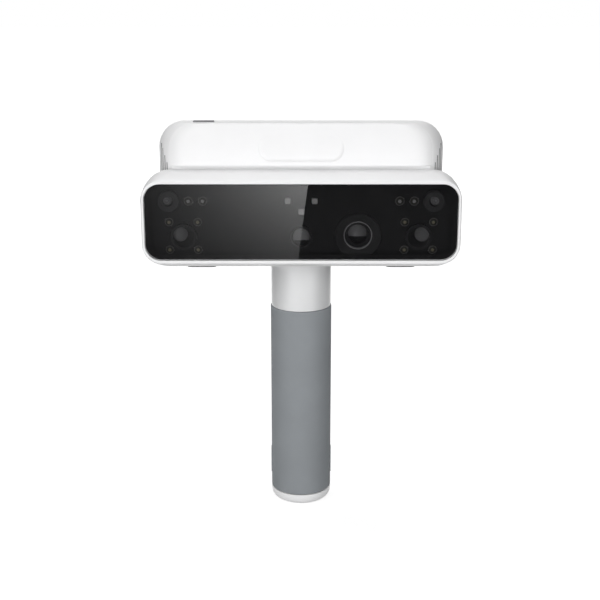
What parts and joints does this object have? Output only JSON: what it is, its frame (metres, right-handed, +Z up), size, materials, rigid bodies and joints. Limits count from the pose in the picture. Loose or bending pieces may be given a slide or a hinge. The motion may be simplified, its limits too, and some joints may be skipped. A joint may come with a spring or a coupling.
{
  "type": "handheld three-dimensional scanner",
  "caption": "Handheld three-dimensional scanner: wide optical head with cameras and a projector behind a smoked window, on a round rubber grip.",
  "frame": {"origin": "centre of the flat foot of the grip, below the middle of the head", "axes": "+Z up along the grip, -Y out of the optical window, +X to the right seen from the front"},
  "size_m": [0.19, 0.07, 0.2446],
  "materials": {
    "white_shell": "satin",
    "smoked_window": "polished",
    "black_inner": "matt",
    "camera_barrel": "anodised",
    "coated_lens": "polished",
    "led_lens": "clear",
    "emitter_window": "satin",
    "neck_coating": "pearl",
    "grip_rubber": "soft",
    "dark_rubber": "matt",
    "aluminium_core": "brushed",
    "black_socket": "satin",
    "key_panel": "satin",
    "key_plastic": "satin",
    "dark_key": "satin",
    "light_window": "frosted",
    "circuit_board": "coated",
    "fan_plastic": "satin"
  },
  "bodies": {
    "scanner_body": {"cable_socket": "black_socket", "emitter_1": "emitter_window", "emitter_2": "emitter_window", "emitter_3": "emitter_window", "end_cap": "white_shell", "face_cover": "white_shell", "fan_frame": "black_inner", "front_housing": "white_shell", "grip_sleeve": "grip_rubber", "handle_core": "aluminium_core", "heat_sink": "aluminium_core", "key_board": "circuit_board", "keypad_panel": "key_panel", "main_board": "circuit_board", "neck_collar": "neck_coating", "optics_frame": "black_inner", "projector_barrel": "camera_barrel", "projector_engine": "camera_barrel", "projector_lens": "coated_lens", "rear_housing": "white_shell", "rest_pad_left": "dark_rubber", "rest_pad_right": "dark_rubber", "scan_camera_left": "camera_barrel", "scan_camera_left_lens": "coated_lens", "scan_camera_right": "camera_barrel", "scan_camera_right_lens": "coated_lens", "scan_led_left_1": "led_lens", "scan_led_left_2": "led_lens", "scan_led_left_3": "led_lens", "scan_led_left_4": "led_lens", "scan_led_right_1": "led_lens", "scan_led_right_2": "led_lens", "scan_led_right_3": "led_lens", "scan_led_right_4": "led_lens", "status_light": "light_window", "texture_camera": "camera_barrel", "texture_camera_lens": "coated_lens", "track_camera_left": "camera_barrel", "track_camera_left_lens": "coated_lens", "track_camera_right": "camera_barrel", "track_camera_right_lens": "coated_lens", "track_led_left_1": "led_lens", "track_led_left_2": "led_lens", "track_led_right_1": "led_lens", "track_led_right_2": "led_lens", "window_glass": "smoked_window"},
    "scan_key": {"scan_key": "key_plastic"},
    "up_key": {"up_key": "key_plastic"},
    "down_key": {"down_key": "key_plastic"},
    "power_key": {"power_key": "dark_key"},
    "fan_rotor": {"fan_rotor": "fan_plastic"}
  },
  "joints": [
    {"name": "scan_key_press", "type": "slide", "parent": "scanner_body", "child": "scan_key", "axis": [0, -1, 0], "range_m": [0, 0.0008], "stiffness_N_per_m": 1800},
    {"name": "up_key_press", "type": "slide", "parent": "scanner_body", "child": "up_key", "axis": [0, -1, 0], "range_m": [0, 0.0008], "stiffness_N_per_m": 1500},
    {"name": "down_key_press", "type": "slide", "parent": "scanner_body", "child": "down_key", "axis": [0, -1, 0], "range_m": [0, 0.0008], "stiffness_N_per_m": 1500},
    {"name": "power_key_press", "type": "slide", "parent": "scanner_body", "child": "power_key", "axis": [0, 0, -1], "range_m": [0, 0.0008], "stiffness_N_per_m": 1800},
    {"name": "fan_spin", "type": "hinge", "parent": "scanner_body", "child": "fan_rotor", "pos_m": [-0.0778, 0.01, 0.206], "axis": [1, 0, 0], "continuous": true}
  ]
}
